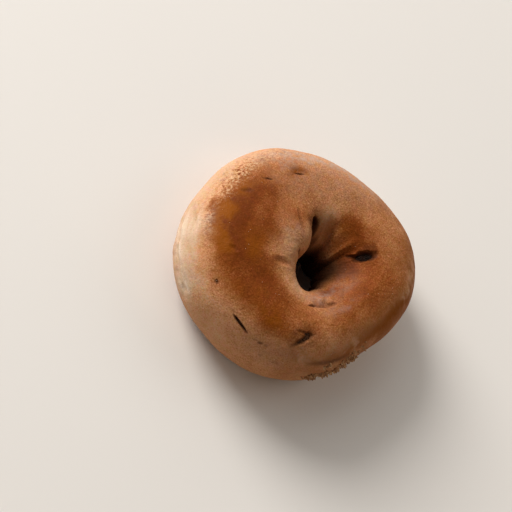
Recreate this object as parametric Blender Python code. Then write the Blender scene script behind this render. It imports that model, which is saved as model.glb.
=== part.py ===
"""Blueberry bagel, a script for Blender 4.5 in metres with +Z up.

One ring of baked dough lies flat on its pressed base. The hole has closed to a
narrow throat: a pinched lip hangs over it on one side, soft folds run down the
far wall, and a stepped crease bounds the near wall. Baked blueberries sit in
pockets of the crust, with their tops a little below it.

Two angles, in degrees, place everything on the dough:
    ring     round the ring, from +X towards +Y
    section  round the dough's section: 0 is the outer side, 90 the crest,
             180 the throat and 270 the base
"""

from dataclasses import dataclass
from math import radians

import bpy
import numpy as np
from mathutils import Matrix, Vector

# Driving dimensions of the dough, in metres
RING_RADIUS = 0.0570
CREST_HEIGHT = 0.0415
CREST_TILT = 0.0010
CREST_TILT_RING = 200.0
EQUATOR_HEIGHT = 0.0185
BASE_PRESS = 1.12
OUTER_POWER = 2.25
LOWER_POWER = 2.4
BOX_CENTRE = (-0.00260, 0.00200)

# The throat is an ellipse, and the lip side of the funnel is the fuller one
HOLE_CENTRE = (0.0038, 0.0020)
THROAT_RADII = (0.0125, 0.0070)
THROAT_RING = 110.0
FUNNEL_POWER = 2.4
LIP_POWER = 0.9
LIP_RING = 195.0

# Where folds start and end down the funnel, in degrees of section
FOLD_START = 110.0
FOLD_RISE = 38.0
FOLD_END = 215.0
FOLD_FADE = 40.0
FOLD_MIDDLE = 150.0
FOLD_POWER = 1.5
WINDOW_POWER = 4.0

# Steps of the mesh round the ring and round the section
RING_STEPS = 112
SECTION_STEPS = 42

# A pocket's clearance round its berry
POCKET_GAP = 0.0003
POCKET_MOUTH = 1.5
BERRY_SEGMENTS = 20
BERRY_RINGS = 12
BERRY_TOP = 0.45
WRINKLES = 5
WRINKLE_DEPTH = 0.035


@dataclass(frozen=True)
class Lobe:
    """One wave of the outline: the ring swells by height, count times round."""

    count: int
    height: float
    ring: float


@dataclass(frozen=True)
class Fold:
    """A valley down the funnel; twist is degrees of ring for each degree of section."""

    ring: float
    half_width: float
    depth: float
    twist: float = 0.0
    start: float = FOLD_START
    rise: float = FOLD_RISE


@dataclass(frozen=True)
class Crease:
    """A step down into the funnel that runs along the ring and fades inwards."""

    ring: float
    half_ring: float
    section: float
    step: float
    fade: float
    depth: float


@dataclass(frozen=True)
class Bulge:
    """A rounded swelling, or a dent where its height is negative."""

    ring: float
    section: float
    half_ring: float
    half_section: float
    height: float


@dataclass(frozen=True)
class Rough:
    """A patch of torn, crumbly crust."""

    ring: float
    section: float
    half_ring: float
    half_section: float
    height: float
    size: float
    seed: int


@dataclass(frozen=True)
class Berry:
    """A baked berry: its place, its three sizes, how deep its middle lies and its turn."""

    name: str
    ring: float
    section: float
    length: float
    width: float
    depth: float
    sink: float
    turn: float


LOBES = (
    Lobe(1, 0.00210, 117.0),
    Lobe(2, 0.00220, 67.0),
    Lobe(3, 0.00113, 52.0),
    Lobe(4, 0.00118, -45.0),
)
FOLDS = (
    Fold(135.0, 6.0, 0.0060),
    Fold(101.0, 8.0, 0.0016, -0.07),
    Fold(58.0, 8.0, 0.0016),
    Fold(12.0, 8.0, 0.0007, 0.08),
    Fold(213.0, 4.5, 0.0030, 0.0, 132.0, 14.0),
    Fold(-22.0, 10.0, 0.0008),
)
NEAR_CREASE = Crease(-50.0, 26.0, 109.0, 5.0, 24.0, 0.0014)
BULGES = (
    Bulge(180.0, 135.0, 38.0, 30.0, 0.0045),
    Bulge(-50.0, 121.0, 12.0, 6.0, 0.0009),
    Bulge(241.0, 112.0, 6.0, 9.0, -0.0007),
    Bulge(-40.0, -15.0, 60.0, 45.0, -0.0025),
    Bulge(160.0, 14.0, 32.0, 32.0, 0.0022),
    Bulge(102.0, 222.0, 50.0, 24.0, 0.0054),
    Bulge(222.0, 130.0, 16.0, 12.0, 0.0010),
)
ROUGH_PATCHES = (
    Rough(-32.0, -26.0, 26.0, 15.0, 0.0006, 0.0085, 3),
    Rough(228.0, -2.0, 24.0, 20.0, 0.0004, 0.0085, 5),
)
UNEVEN_HEIGHT = 0.00018
UNEVEN_SIZE = 0.022
UNEVEN_SEED = 11
LUMP_WAVES = 24
LUMP_PITCH = 3.6
BERRIES = (
    Berry("berry_funnel", 49.4, 115.5, 0.0100, 0.0050, 0.0060, 0.0022, -88.0),
    Berry("berry_near", 301.0, 71.0, 0.0100, 0.0046, 0.0050, 0.0012, 58.0),
    Berry("berry_slit", 268.3, 43.5, 0.0080, 0.0020, 0.0044, 0.0010, -2.0),
    Berry("berry_far", 144.5, 77.5, 0.0066, 0.0034, 0.0040, 0.0010, 160.0),
)

CRUST_COLOUR = (0.36, 0.155, 0.055, 1.0)
BERRY_COLOUR = (0.028, 0.010, 0.012, 1.0)


def signed_power(value, power):
    """Raises the size of a value to a power and keeps its sign."""
    return np.sign(value) * np.abs(value) ** power


def smoothstep(value):
    """Eases from 0 to 1."""
    value = np.clip(value, 0.0, 1.0)
    return value * value * (3.0 - 2.0 * value)


def turned(angle):
    """Brings an angle in degrees to between -180 and 180."""
    return (angle + 180.0) % 360.0 - 180.0


def bell(distance, half_width, power=2.0):
    """A smooth hump: 1 in the middle, about a third at half_width."""
    return np.exp(-(np.abs(distance / half_width) ** power))


def wave(angle):
    """The cosine of an angle in degrees."""
    return np.cos(np.radians(angle))


def outer_radius(ring):
    """The dough's outer radius at a ring angle."""
    return RING_RADIUS + sum(
        lobe.height * wave(lobe.count * (ring - lobe.ring)) for lobe in LOBES
    )


def throat_radius(ring):
    """The throat's radius at a ring angle, on its ellipse."""
    long, short = THROAT_RADII
    angle = np.radians(ring - THROAT_RING)
    return long * short / np.hypot(short * np.cos(angle), long * np.sin(angle))


def section_power(ring, section):
    """How square the section is: the base, the outer side and the funnel differ."""
    funnel = FUNNEL_POWER + LIP_POWER * wave(ring - LIP_RING)
    upper = np.where(wave(section) >= 0.0, OUTER_POWER, funnel)
    return np.where(np.sin(np.radians(section)) >= 0.0, upper, LOWER_POWER)


def smooth_dough(ring, section):
    """Points of the dough without its creases, as an array with a last axis of 3."""
    squeeze = 2.0 / section_power(ring, section)
    across = (1.0 + signed_power(wave(section), squeeze)) / 2.0
    up = signed_power(np.sin(np.radians(section)), squeeze)
    throat, outer = throat_radius(ring), outer_radius(ring)
    ring_x, ring_y = wave(ring), np.sin(np.radians(ring))
    inner_x = HOLE_CENTRE[0] + throat * ring_x
    inner_y = HOLE_CENTRE[1] + throat * ring_y
    x = inner_x + (outer * ring_x - inner_x) * across - BOX_CENTRE[0]
    y = inner_y + (outer * ring_y - inner_y) * across - BOX_CENTRE[1]
    crest = CREST_HEIGHT + CREST_TILT * wave(ring - CREST_TILT_RING)
    above = EQUATOR_HEIGHT + (crest - EQUATOR_HEIGHT) * up
    below = EQUATOR_HEIGHT * (1.0 + BASE_PRESS * up)
    z = np.where(up >= 0.0, above, below)
    return np.stack(np.broadcast_arrays(x, y, z), -1)


def smooth_normals(ring, section, step=0.05):
    """Unit vectors that point out of the smooth dough."""
    along_ring = smooth_dough(ring + step, section) - smooth_dough(ring - step, section)
    along_section = smooth_dough(ring, section + step) - smooth_dough(ring, section - step)
    normals = np.cross(along_ring, along_section)
    return normals / np.linalg.norm(normals, axis=-1, keepdims=True)


def lumps(points, size, seed):
    """A smooth random field of about unit height, from waves in random directions."""
    draw = np.random.default_rng(seed)
    directions = draw.normal(size=(LUMP_WAVES, 3)) * (LUMP_PITCH / size)
    phases = draw.uniform(0.0, 2.0 * np.pi, LUMP_WAVES)
    return np.cos(points @ directions.T + phases).sum(-1) / np.sqrt(LUMP_WAVES / 2.0)


def bulge_height(bulge, ring, section):
    """The height that one bulge adds."""
    across = bell(turned(ring - bulge.ring), bulge.half_ring)
    return bulge.height * across * bell(turned(section - bulge.section), bulge.half_section)


def fold_height(fold, ring, section):
    """The depth that one fold takes away, as a negative height."""
    middle = fold.ring + fold.twist * (section - FOLD_MIDDLE)
    rise = smoothstep((section - fold.start) / fold.rise)
    fade = 1.0 - smoothstep((section - FOLD_END) / FOLD_FADE)
    across = bell(turned(ring - middle), fold.half_width, FOLD_POWER)
    return -fold.depth * rise * fade * across


def crease_height(crease, ring, section):
    """The depth that a crease takes away, as a negative height."""
    along = bell(turned(ring - crease.ring), crease.half_ring, WINDOW_POWER)
    inwards = section - crease.section
    step = smoothstep(inwards / crease.step)
    fade = 1.0 - smoothstep((inwards - crease.step) / crease.fade)
    return -crease.depth * along * step * fade


def rough_height(patch, points, ring, section):
    """The crumbs of one torn patch, most of them dents."""
    along = bell(turned(ring - patch.ring), patch.half_ring, WINDOW_POWER)
    across = bell(turned(section - patch.section), patch.half_section, WINDOW_POWER)
    return patch.height * along * across * (lumps(points, patch.size, patch.seed) - 0.6)


def relief(points, ring, section):
    """How far the crust stands out from the smooth dough."""
    section = section % 360.0
    height = UNEVEN_HEIGHT * (lumps(points, UNEVEN_SIZE, UNEVEN_SEED) - 0.5)
    height = height + crease_height(NEAR_CREASE, ring, section)
    for fold in FOLDS:
        height = height + fold_height(fold, ring, section)
    for bulge in BULGES:
        height = height + bulge_height(bulge, ring, section)
    for patch in ROUGH_PATCHES:
        height = height + rough_height(patch, points, ring, section)
    return height


def crust(ring, section):
    """Points of the crust, flat where the dough rests on its base."""
    points = smooth_dough(ring, section)
    height = relief(points, ring, section)
    points = points + smooth_normals(ring, section) * height[..., None]
    points[..., 2] = np.maximum(points[..., 2], 0.0)
    return points


def crust_frame(berry):
    """The place and turn of a berry: X along it, Z out of the crust, middle sunk in."""
    ring, section = np.array([berry.ring]), np.array([berry.section])
    step = 1.0
    along_ring = Vector((crust(ring + step, section) - crust(ring - step, section))[0])
    along_section = Vector((crust(ring, section + step) - crust(ring, section - step))[0])
    out = along_ring.cross(along_section).normalized()
    start = along_ring.normalized()
    across = out.cross(start)
    angle = radians(berry.turn)
    length_axis = start * np.cos(angle) + across * np.sin(angle)
    axes = Matrix((length_axis, out.cross(length_axis), out)).transposed()
    place = Vector(crust(ring, section)[0]) - out * berry.sink
    return Matrix.Translation(place) @ axes.to_4x4()


def new_collection(name):
    """Makes a collection in the scene."""
    collection = bpy.data.collections.new(name)
    bpy.context.scene.collection.children.link(collection)
    return collection


def new_material(name, colour, roughness):
    """Makes a material with its own Principled BSDF values."""
    material = bpy.data.materials.new(name)
    material.use_nodes = True
    shader = material.node_tree.nodes["Principled BSDF"]
    shader.inputs["Base Color"].default_value = colour
    shader.inputs["Roughness"].default_value = roughness
    shader.inputs["Metallic"].default_value = 0.0
    material.diffuse_color = colour
    return material


def take(name, collection, material=None):
    """Names the active object and moves it to a collection."""
    obj = bpy.context.active_object
    obj.name = obj.data.name = name
    for old in list(obj.users_collection):
        old.objects.unlink(obj)
    collection.objects.link(obj)
    if material is not None:
        obj.data.materials.append(material)
    return obj


def points_of(mesh):
    """The points of a mesh as an array with a row for each."""
    points = np.empty(len(mesh.vertices) * 3)
    mesh.vertices.foreach_get("co", points)
    return points.reshape(-1, 3)


def move_points(mesh, points):
    """Puts the points of a mesh where the array says."""
    mesh.vertices.foreach_set("co", points.astype(np.float32).ravel())
    mesh.update()


def build_dough(collection, material):
    """Makes the dough ring: a torus whose points are moved onto the crust."""
    bpy.ops.mesh.primitive_torus_add(
        major_segments=RING_STEPS,
        minor_segments=SECTION_STEPS,
        major_radius=RING_RADIUS,
        minor_radius=EQUATOR_HEIGHT,
    )
    dough = take("dough", collection, material)
    x, y, z = points_of(dough.data).T
    ring = np.degrees(np.arctan2(y, x))
    section = np.degrees(np.arctan2(z, np.hypot(x, y) - RING_RADIUS))
    move_points(dough.data, crust(ring, section))
    dough.data.shade_smooth()
    return dough


def berry_points(points, berry, gap=0.0, top=BERRY_TOP):
    """Shapes a unit sphere's points as a berry: an ellipsoid with its top pressed in."""
    half = np.array([berry.length, berry.width, berry.depth]) / 2.0 + gap
    shaped = points * half
    shaped[:, 2] = np.where(points[:, 2] > 0.0, shaped[:, 2] * top, shaped[:, 2])
    return shaped


def wrinkled(points, berry):
    """Draws in a berry's skin in shallow wrinkles that stay inside its ellipsoid."""
    angle = np.arctan2(points[:, 1], points[:, 0])
    ridge = np.cos(WRINKLES * angle + berry.ring) - 1.0
    depth = WRINKLE_DEPTH * (1.0 - points[:, 2] ** 2)
    return points * (1.0 + depth * ridge)[:, None]


def unit_sphere(name, collection, material=None):
    """Makes a sphere of radius 1 at the origin."""
    bpy.ops.mesh.primitive_uv_sphere_add(
        segments=BERRY_SEGMENTS, ring_count=BERRY_RINGS, radius=1.0
    )
    return take(name, collection, material)


def build_berry(berry, collection, material):
    """Makes one baked berry in its place."""
    obj = unit_sphere(berry.name, collection, material)
    points = wrinkled(points_of(obj.data), berry)
    move_points(obj.data, berry_points(points, berry))
    obj.data.shade_smooth()
    obj.matrix_world = crust_frame(berry)
    return obj


def cut_pocket(dough, berry, collection):
    """Cuts the pocket that a berry sits in, open through the crust above it."""
    cutter = unit_sphere(berry.name + "_pocket", collection)
    shaped = berry_points(points_of(cutter.data), berry, POCKET_GAP, POCKET_MOUTH)
    move_points(cutter.data, shaped)
    cutter.matrix_world = crust_frame(berry)
    cutter.hide_render = True
    cutter.display_type = "WIRE"
    cut = dough.modifiers.new(berry.name + "_pocket", "BOOLEAN")
    cut.operation = "DIFFERENCE"
    cut.solver = "EXACT"
    cut.object = cutter


def main():
    """Clears the scene and builds the bagel."""
    for obj in list(bpy.data.objects):
        bpy.data.objects.remove(obj)
    bagel = new_collection("blueberry_bagel")
    cutters = new_collection("cutters")
    cutters.hide_render = True
    crust_material = new_material("crust", CRUST_COLOUR, 0.45)
    berry_material = new_material("blueberry", BERRY_COLOUR, 0.3)
    dough = build_dough(bagel, crust_material)
    for berry in BERRIES:
        cut_pocket(dough, berry, cutters)
        build_berry(berry, bagel, berry_material)


main()
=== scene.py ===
"""Looks of a blueberry bagel: its crust, baked berries, crumbs and specks, and a plain studio.

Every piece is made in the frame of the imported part, in metres with +Z up. Two angles in
degrees place everything on the dough: ring goes round the ring from +X towards +Y, and
section goes round the dough's section, where 0 is the outer side, 90 the crest, 180 the
throat and 270 the base.
"""

import logging
import math
from dataclasses import dataclass
from enum import Enum

import bmesh
import bpy
import numpy as np
from mathutils import Matrix, Vector


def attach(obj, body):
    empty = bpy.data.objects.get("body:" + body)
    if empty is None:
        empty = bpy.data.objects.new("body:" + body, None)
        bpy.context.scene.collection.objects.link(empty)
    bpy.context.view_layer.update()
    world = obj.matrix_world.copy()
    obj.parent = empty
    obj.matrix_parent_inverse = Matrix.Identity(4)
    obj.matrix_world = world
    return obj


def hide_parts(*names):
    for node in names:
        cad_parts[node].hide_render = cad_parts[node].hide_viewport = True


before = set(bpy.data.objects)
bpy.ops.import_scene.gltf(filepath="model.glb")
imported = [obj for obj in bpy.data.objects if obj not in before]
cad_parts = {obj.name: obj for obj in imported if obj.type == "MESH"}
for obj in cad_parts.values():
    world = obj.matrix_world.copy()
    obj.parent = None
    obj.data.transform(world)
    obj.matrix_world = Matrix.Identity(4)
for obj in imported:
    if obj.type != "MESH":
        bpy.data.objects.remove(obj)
LOG = logging.getLogger("bagel")
BODY = "root"
Colour = tuple[float, float, float]


class Mask(Enum):
    """Point attributes that the crust carries for its relief and its finish."""

    BAKE = "bake"
    AMBER = "amber"
    # Pale dust, and painted sheen on the rims and the left shoulder
    DUSTY = "dusty"
    # Berry juice, and painted shade in folds, pits and the crease
    STAIN = "stain"
    # Painted shade deep in the funnel and along shadow streaks
    SHADE = "deep"
    BLISTER = "blister"
    TORN = "torn"
    FREE = "free"
    # Flour, and painted sheen along the lit left wall
    FLOURY = "floury"


class Texture(Enum):
    """Noise textures of the crust's finish: scale, detail and roughness."""

    CLOUD = (95.0, 3.0, 0.55)
    MOTTLE = (330.0, 4.0, 0.6)
    GRAIN = (1500.0, 2.0, 0.6)
    FLAKES = (720.0, 3.0, 0.7)


# Shape functions


def smoothstep(value: np.ndarray) -> np.ndarray:
    """Eases from 0 to 1 as the value does."""
    value = np.clip(value, 0.0, 1.0)
    return value * value * (3.0 - 2.0 * value)


def window(value: np.ndarray, start: float, rise: float, end: float,
           fade: float) -> np.ndarray:
    """A smooth window.

    Args:
        value: The values to read it at.
        start: Where it starts to rise from 0.
        rise: How far it takes to reach 1.
        end: Where it starts to fall.
        fade: How far it takes to fall back to 0.

    Returns:
        Values from 0 to 1.
    """
    return smoothstep((value - start) / rise) * (1.0 - smoothstep((value - end) / fade))


def turned(angle: np.ndarray) -> np.ndarray:
    """Brings an angle in degrees to between -180 and 180."""
    return (angle + 180.0) % 360.0 - 180.0


def wave(angle: np.ndarray) -> np.ndarray:
    """The cosine of an angle in degrees."""
    return np.cos(np.radians(angle))


def signed_power(value: np.ndarray, power: np.ndarray) -> np.ndarray:
    """Raises the size of a value to a power and keeps its sign."""
    return np.sign(value) * np.abs(value) ** power


def bell(distance: np.ndarray, half_width: float, power: float = 2.0) -> np.ndarray:
    """A smooth hump.

    Args:
        distance: Distance from its middle.
        half_width: Distance at which about a third is left.
        power: 2 for a plain bell, 4 or more for a flat top.

    Returns:
        Values from 0 to 1.
    """
    return np.exp(-(np.abs(distance / half_width) ** power))


def lumps(points: np.ndarray, size: float, seed: int, waves: int = 24) -> np.ndarray:
    """A smooth random field of about unit height.

    Args:
        points: Places to read it at, with a last axis of 2 or 3.
        size: Distance between lumps.
        seed: Seed of the random directions.
        waves: How many plane waves it is the sum of.

    Returns:
        One value for each point.
    """
    draw = np.random.default_rng(seed)
    directions = draw.normal(size=(waves, points.shape[-1])) * (3.6 / size)
    phases = draw.uniform(0.0, 2.0 * np.pi, waves)
    field = np.zeros(points.shape[:-1])
    for direction, phase in zip(directions, phases):
        field += np.cos(points @ direction + phase)
    return field / math.sqrt(waves / 2.0)


@dataclass(frozen=True)
class Swell:
    """A smooth random field: its reach, the distance between its lumps, and its seed."""

    reach: float
    size: float
    seed: int

    def value(self, points: np.ndarray) -> np.ndarray:
        """Its value at each point."""
        return self.reach * lumps(points, self.size, self.seed)


@dataclass(frozen=True)
class Arc:
    """A soft-ended stretch of the ring, with the amount that it adds."""

    ring: float
    half_ring: float
    amount: float
    power: float

    def value(self, ring: np.ndarray) -> np.ndarray:
        """Its amount at each ring angle."""
        return self.amount * bell(turned(ring - self.ring), self.half_ring, self.power)


@dataclass(frozen=True)
class Lobe:
    """One wave of the outline: the ring swells by height, count times round."""

    count: int
    height: float
    ring: float


@dataclass(frozen=True)
class Fold:
    """A valley down the funnel; twist is degrees of ring for each degree of section."""

    ring: float
    half_width: float
    depth: float
    twist: float = 0.0
    start: float = 110.0
    rise: float = 38.0
    end: float = 215.0
    fade: float = 40.0

    def height(self, ring: np.ndarray, section: np.ndarray) -> np.ndarray:
        """Height that the fold adds, below 0.

        Args:
            ring: Ring angles in degrees.
            section: Section angles in degrees, from 0 to 360.

        Returns:
            Heights in metres.
        """
        middle = self.ring + self.twist * (section - 150.0)
        along = window(section, self.start, self.rise, self.end, self.fade)
        return -self.depth * along * bell(turned(ring - middle), self.half_width, 1.5)


@dataclass(frozen=True)
class Crease:
    """A step down into the funnel that runs along the ring and fades inwards."""

    ring: float
    half_ring: float
    section: float
    step: float
    fade: float
    depth: float

    def height(self, ring: np.ndarray, section: np.ndarray) -> np.ndarray:
        """Height that the crease adds, below 0.

        Args:
            ring: Ring angles in degrees.
            section: Section angles in degrees, from 0 to 360.

        Returns:
            Heights in metres.
        """
        along = bell(turned(ring - self.ring), self.half_ring, 4.0)
        inwards = section - self.section
        step = smoothstep(inwards / self.step)
        fade = 1.0 - smoothstep((inwards - self.step) / self.fade)
        return -self.depth * along * step * fade


@dataclass(frozen=True)
class Patch:
    """A soft-edged area of the crust, with the amount that it adds."""

    ring: float
    section: float
    half_ring: float
    half_section: float
    amount: float
    power: float = 2.0

    def value(self, ring: np.ndarray, section: np.ndarray) -> np.ndarray:
        """Amount at each place.

        Args:
            ring: Ring angles in degrees.
            section: Section angles in degrees.

        Returns:
            The patch's amount times its soft window.
        """
        along = bell(turned(ring - self.ring), self.half_ring, self.power)
        across = bell(turned(section - self.section), self.half_section, self.power)
        return self.amount * along * across


def total(patches: tuple[Patch, ...], ring: np.ndarray, section: np.ndarray) -> np.ndarray:
    """The sum of what some patches add at each place."""
    return sum(patch.value(ring, section) for patch in patches)


@dataclass(frozen=True)
class Mark:
    """A dent, pit or slit of the crust, with its sizes in metres and its turn in degrees.

    Edge is the soft share of it, rim the height of its border, stain how dark it is
    coloured, by berry juice and skin at the berries and cracks and by painted shade in the folds,
    creases and pits, and halo how far that colour spreads.
    """

    ring: float
    section: float
    length: float
    width: float
    depth: float
    turn: float = 0.0
    edge: float = 0.5
    rim: float = 0.0
    stain: float = 0.0
    halo: float = 1.6


@dataclass(frozen=True)
class Berry:
    """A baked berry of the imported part: its place, sizes and how dry its skin is."""

    node: str
    ring: float
    section: float
    length: float
    width: float
    depth: float
    sink: float
    turn: float
    dry: float
    seed: int


BERRIES = (
    Berry("berry_funnel", 49.4, 115.5, 0.0100, 0.0050, 0.0060, 0.0022, -88.0, 0.0, 4),
    Berry("berry_near", 301.0, 71.0, 0.0100, 0.0046, 0.0050, 0.0012, 58.0, 0.8, 7),
    Berry("berry_slit", 268.3, 43.5, 0.0080, 0.0020, 0.0044, 0.0010, -2.0, 0.5, 9),
    Berry("berry_far", 144.5, 77.5, 0.0066, 0.0034, 0.0040, 0.0010, 160.0, 0.9, 13),
)


@dataclass(frozen=True)
class DoughForm:
    """The dough's form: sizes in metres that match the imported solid, and its creases."""

    ring_radius: float = 0.0570
    crest_height: float = 0.0415
    crest_tilt: float = 0.0010
    crest_tilt_ring: float = 200.0
    equator_height: float = 0.0185
    base_press: float = 1.12
    outer_power: float = 2.25
    lower_power: float = 2.4
    box_centre: tuple[float, float] = (-0.00260, 0.00200)
    hole_centre: tuple[float, float] = (0.0038, 0.0020)
    throat_radii: tuple[float, float] = (0.0125, 0.0070)
    throat_ring: float = 110.0
    funnel_power: float = 2.4
    lip_power: float = 0.9
    lip_ring: float = 195.0
    lobes: tuple[Lobe, ...] = (
        Lobe(1, 0.00210, 117.0),
        Lobe(2, 0.00220, 67.0),
        Lobe(3, 0.00113, 52.0),
        Lobe(4, 0.00118, -45.0),
    )
    folds: tuple[Fold, ...] = (
        Fold(135.0, 6.0, 0.0060),
        Fold(101.0, 8.0, 0.0016, -0.07),
        Fold(58.0, 8.0, 0.0016),
        Fold(12.0, 8.0, 0.0007, 0.08),
        Fold(213.0, 4.5, 0.0030, 0.0, 132.0, 14.0),
        Fold(-22.0, 10.0, 0.0008),
        Fold(134.0, 2.6, 0.0022, 0.0, 121.0, 12.0, 178.0, 26.0),
    )
    creases: tuple[Crease, ...] = (Crease(-50.0, 26.0, 109.0, 4.0, 24.0, 0.0015),)
    bulges: tuple[Patch, ...] = (
        Patch(180.0, 135.0, 38.0, 30.0, 0.0045),
        Patch(-50.0, 121.0, 12.0, 6.0, 0.0009),
        Patch(-40.0, -15.0, 60.0, 45.0, -0.0025),
        Patch(160.0, 14.0, 32.0, 32.0, 0.0022),
        Patch(102.0, 222.0, 50.0, 24.0, 0.0054),
        Patch(222.0, 130.0, 16.0, 12.0, 0.0010),
    )
    waviness: Swell = Swell(0.00018, 0.022, 11)
    inset: float = 0.00012

    def smooth(self, ring: np.ndarray, section: np.ndarray) -> np.ndarray:
        """Points of the dough without its creases.

        Args:
            ring: Ring angles in degrees.
            section: Section angles in degrees.

        Returns:
            Points with a last axis of 3.
        """
        ring, section = np.broadcast_arrays(ring, section)
        funnel = self.funnel_power + self.lip_power * wave(ring - self.lip_ring)
        upper = np.where(wave(section) >= 0.0, self.outer_power, funnel)
        rise = np.sin(np.radians(section))
        squeeze = 2.0 / np.where(rise >= 0.0, upper, self.lower_power)
        across = (1.0 + signed_power(wave(section), squeeze)) / 2.0
        up = signed_power(rise, squeeze)
        long, short = self.throat_radii
        angle = np.radians(ring - self.throat_ring)
        throat = long * short / np.hypot(short * np.cos(angle), long * np.sin(angle))
        outer = self.ring_radius + sum(
            lobe.height * wave(lobe.count * (ring - lobe.ring)) for lobe in self.lobes
        )
        ring_x, ring_y = wave(ring), np.sin(np.radians(ring))
        inner_x = self.hole_centre[0] + throat * ring_x
        inner_y = self.hole_centre[1] + throat * ring_y
        x = inner_x + (outer * ring_x - inner_x) * across - self.box_centre[0]
        y = inner_y + (outer * ring_y - inner_y) * across - self.box_centre[1]
        crest = self.crest_height + self.crest_tilt * wave(ring - self.crest_tilt_ring)
        above = self.equator_height + (crest - self.equator_height) * up
        below = self.equator_height * (1.0 + self.base_press * up)
        return np.stack((x, y, np.where(up >= 0.0, above, below)), -1)

    def raised(self, ring: np.ndarray, section: np.ndarray, height: np.ndarray) -> np.ndarray:
        """Points of the dough moved out along its normals.

        Args:
            ring: Ring angles in degrees.
            section: Section angles in degrees.
            height: How far each point moves, in metres.

        Returns:
            Points with a last axis of 3.
        """
        step = 0.05
        along = self.smooth(ring + step, section) - self.smooth(ring - step, section)
        across = self.smooth(ring, section + step) - self.smooth(ring, section - step)
        normals = np.cross(along, across)
        normals /= np.linalg.norm(normals, axis=-1, keepdims=True)
        return self.smooth(ring, section) + normals * height[..., None]

    def relief(self, ring: np.ndarray, section: np.ndarray) -> np.ndarray:
        """How far folds, creases and bulges stand out from the smooth dough.

        Args:
            ring: Ring angles in degrees.
            section: Section angles in degrees.

        Returns:
            Heights in metres.
        """
        points = self.smooth(ring, section)
        section = section % 360.0
        height = self.waviness.value(points) - 0.5 * self.waviness.reach - self.inset
        for feature in (*self.folds, *self.creases):
            height = height + feature.height(ring, section)
        for bulge in self.bulges:
            height = height + bulge.value(ring, section)
        return height

    def crust(self, ring: np.ndarray, section: np.ndarray) -> np.ndarray:
        """Points of the crust with its large relief, flat on its base.

        Args:
            ring: Ring angles in degrees.
            section: Section angles in degrees.

        Returns:
            Points with a last axis of 3.
        """
        points = self.raised(ring, section, self.relief(ring, section))
        points[..., 2] = np.maximum(points[..., 2], 0.0)
        return points

    def place(self, ring: float, section: float, turn: float, sink: float = 0.0) -> Matrix:
        """A frame on the crust, with X along a mark and Z out of the crust.

        Args:
            ring: Ring angle in degrees.
            section: Section angle in degrees.
            turn: Turn of X from the ring's direction towards the crest, in degrees.
            sink: How far the origin lies below the crust, in metres.

        Returns:
            The frame as a 4x4 matrix.
        """
        r, s, step = np.array([ring]), np.array([section]), 1.0
        along = Vector((self.crust(r + step, s) - self.crust(r - step, s))[0]).normalized()
        across = Vector((self.crust(r, s + step) - self.crust(r, s - step))[0])
        out = along.cross(across).normalized()
        across = out.cross(along)
        angle = math.radians(turn)
        x_axis = along * math.cos(angle) + across * math.sin(angle)
        axes = Matrix((x_axis, out.cross(x_axis), out)).transposed()
        origin = Vector(self.crust(r, s)[0]) - out * sink
        return Matrix.Translation(origin) @ axes.to_4x4()


# Node graphs


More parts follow.
